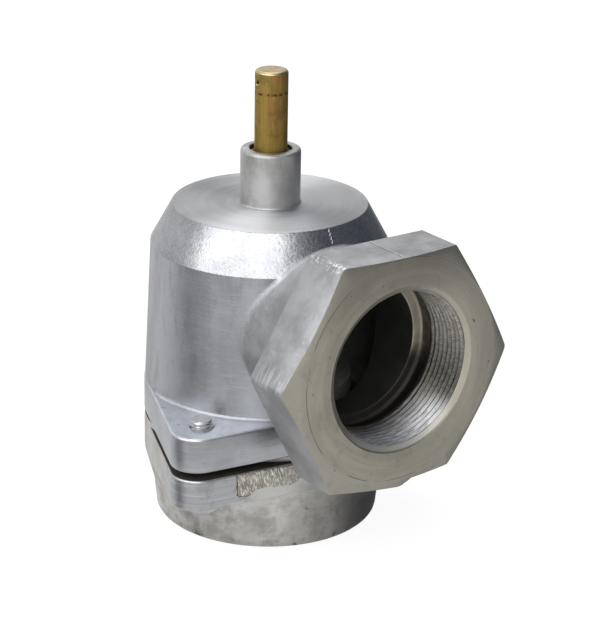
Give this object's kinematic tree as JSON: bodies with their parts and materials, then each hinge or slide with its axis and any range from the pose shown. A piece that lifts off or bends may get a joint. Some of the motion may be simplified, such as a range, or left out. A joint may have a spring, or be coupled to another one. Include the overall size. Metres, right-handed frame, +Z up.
{
  "type": "angle lift valve body",
  "caption": "Cast aluminium angle lift valve with a hexagonal side outlet, a socket below and a brass stem that an actuator pulls to lift a sprung disc.",
  "frame": {"origin": "middle of the bounding box's base, on the plane of the inlet's face; the stem's axis is 5.7 mm behind it, towards +Y", "axes": "+Z up along the stem, -Y out of the side outlet, +X to the right as seen from the outlet"},
  "size_m": [0.1224, 0.15, 0.1713],
  "materials": {
    "cast_aluminium": "as cast with machined faces",
    "brass": "drawn and turned, dulled",
    "bronze": "turned",
    "plated_steel": "zinc plated",
    "spring_steel": "drawn wire",
    "black_rubber": "moulded"
  },
  "bodies": {
    "valve_body": {"upper_body": "cast_aluminium", "lower_body": "cast_aluminium", "body_o_ring": "black_rubber", "seat_ring": "brass", "seat_o_ring": "black_rubber", "guide_bush": "bronze", "stem_o_ring_lower": "black_rubber", "spacer_ring": "bronze", "stem_o_ring_upper": "black_rubber", "wiper_ring": "black_rubber", "bush_circlip": "spring_steel", "spring_seat": "plated_steel", "return_spring": "spring_steel", "flange_screw_1": "plated_steel", "flange_screw_2": "plated_steel", "flange_screw_3": "plated_steel"},
    "disc": {"disc_holder": "brass", "seal_disc": "black_rubber", "disc_retainer": "brass", "retainer_screw_1": "brass", "retainer_screw_2": "brass", "retainer_screw_3": "brass"},
    "stem": {"stem": "brass", "thrust_washer": "plated_steel", "lock_nut": "plated_steel", "roll_pin": "spring_steel"}
  },
  "joints": [
    {"name": "stem_lift", "type": "slide", "parent": "valve_body", "child": "disc", "axis": [0, 0, 1], "range_m": [0, 0.014], "stiffness_N_per_m": 1500, "springref_m": -0.012, "deforming": ["return_spring"]},
    {"name": "stem_turn", "type": "hinge", "parent": "disc", "child": "stem", "pos_m": [0, 0.00569, 0.1], "axis": [0, 0, 1], "continuous": true}
  ]
}
